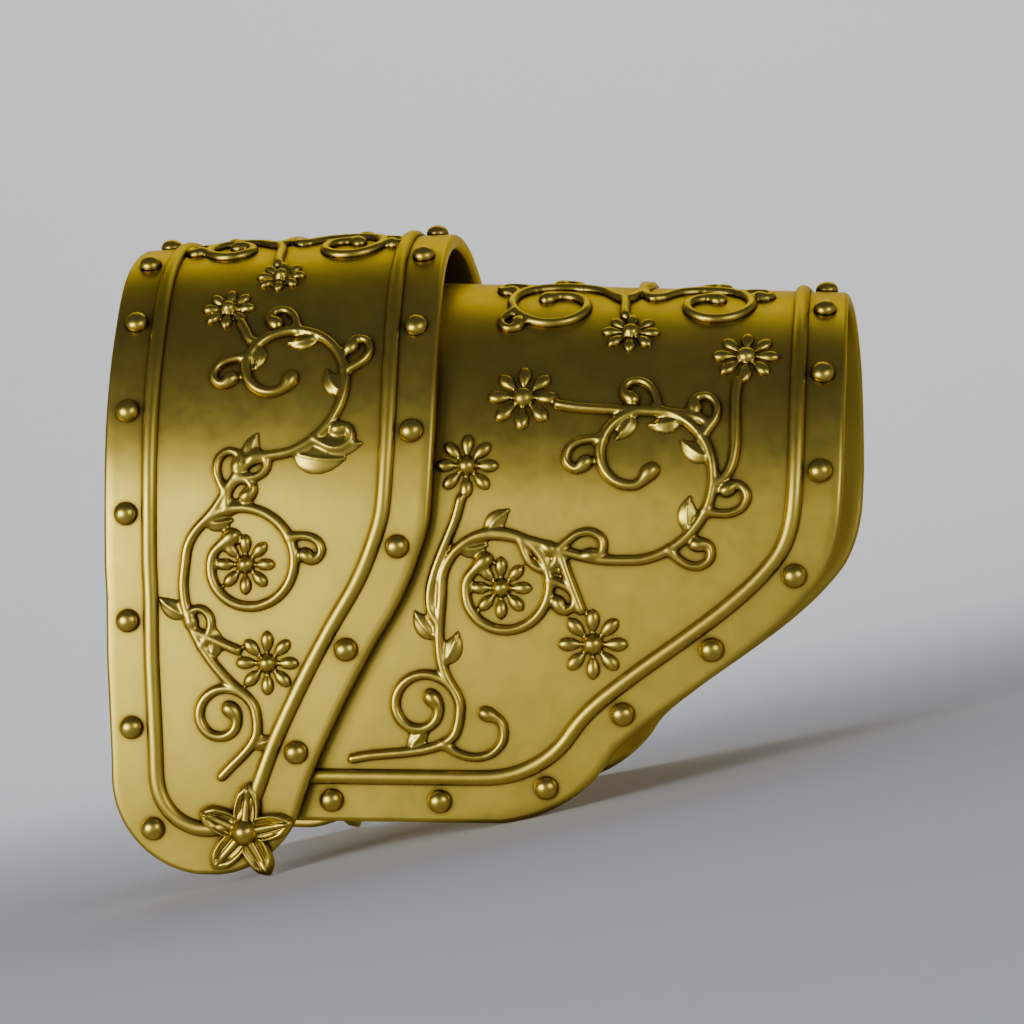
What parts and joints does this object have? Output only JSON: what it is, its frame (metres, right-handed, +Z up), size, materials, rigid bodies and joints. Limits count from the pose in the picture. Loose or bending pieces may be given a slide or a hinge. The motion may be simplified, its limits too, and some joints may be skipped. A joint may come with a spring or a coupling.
{
  "type": "pauldron",
  "caption": "Two-plate armour pauldron with an open underside: a shoulder plate riveted over an arm plate, with beaded borders, domed rivets and raised vine scrolls.",
  "frame": {"origin": "on the floor, under the middle of the armour's outer box, as it stands by itself on its star bosses and the arm plate's lower corners", "axes": "+X along the arm towards the elbow, +Y towards the wearer's back, +Z up; the crown line leans down towards the elbow by the angle at which the armour stands"},
  "size_m": [0.2582, 0.1716, 0.2112],
  "materials": {
    "satin_gilt": "satin cast gilt metal",
    "relief_gilt": "satin gilt, rubbed brighter on the raised work",
    "polished_gilt": "polished gilt"
  },
  "bodies": {
    "root": {"shoulder_plate": "satin_gilt", "arm_plate": "satin_gilt", "shoulder_bead_neck": "satin_gilt", "shoulder_bead_rim": "satin_gilt", "arm_bead": "satin_gilt", "shoulder_scroll_front": "relief_gilt", "shoulder_scroll_back": "relief_gilt", "shoulder_scroll_crown": "relief_gilt", "arm_scroll_front": "relief_gilt", "arm_scroll_back": "relief_gilt", "arm_scroll_crown": "relief_gilt", "star_boss_front": "polished_gilt", "star_boss_back": "polished_gilt", "arm_rivet_crown": "polished_gilt", "arm_rivet_front_1": "polished_gilt", "arm_rivet_front_2": "polished_gilt", "arm_rivet_front_3": "polished_gilt", "arm_rivet_front_4": "polished_gilt", "arm_rivet_front_5": "polished_gilt", "arm_rivet_front_6": "polished_gilt", "arm_rivet_front_7": "polished_gilt", "arm_rivet_front_8": "polished_gilt", "arm_rivet_front_9": "polished_gilt", "arm_rivet_back_1": "polished_gilt", "arm_rivet_back_2": "polished_gilt", "arm_rivet_back_3": "polished_gilt", "arm_rivet_back_4": "polished_gilt", "arm_rivet_back_5": "polished_gilt", "arm_rivet_back_6": "polished_gilt", "arm_rivet_back_7": "polished_gilt", "arm_rivet_back_8": "polished_gilt", "arm_rivet_back_9": "polished_gilt", "neck_rivet_crown": "polished_gilt", "neck_rivet_front_1": "polished_gilt", "neck_rivet_front_2": "polished_gilt", "neck_rivet_front_3": "polished_gilt", "neck_rivet_front_4": "polished_gilt", "neck_rivet_front_5": "polished_gilt", "neck_rivet_front_6": "polished_gilt", "neck_rivet_front_7": "polished_gilt", "neck_rivet_back_1": "polished_gilt", "neck_rivet_back_2": "polished_gilt", "neck_rivet_back_3": "polished_gilt", "neck_rivet_back_4": "polished_gilt", "neck_rivet_back_5": "polished_gilt", "neck_rivet_back_6": "polished_gilt", "neck_rivet_back_7": "polished_gilt", "rim_rivet_crown": "polished_gilt", "rim_rivet_front_1": "polished_gilt", "rim_rivet_front_2": "polished_gilt", "rim_rivet_front_3": "polished_gilt", "rim_rivet_front_4": "polished_gilt", "rim_rivet_front_5": "polished_gilt", "rim_rivet_front_6": "polished_gilt", "rim_rivet_back_1": "polished_gilt", "rim_rivet_back_2": "polished_gilt", "rim_rivet_back_3": "polished_gilt", "rim_rivet_back_4": "polished_gilt", "rim_rivet_back_5": "polished_gilt", "rim_rivet_back_6": "polished_gilt"}
  },
  "joints": []
}
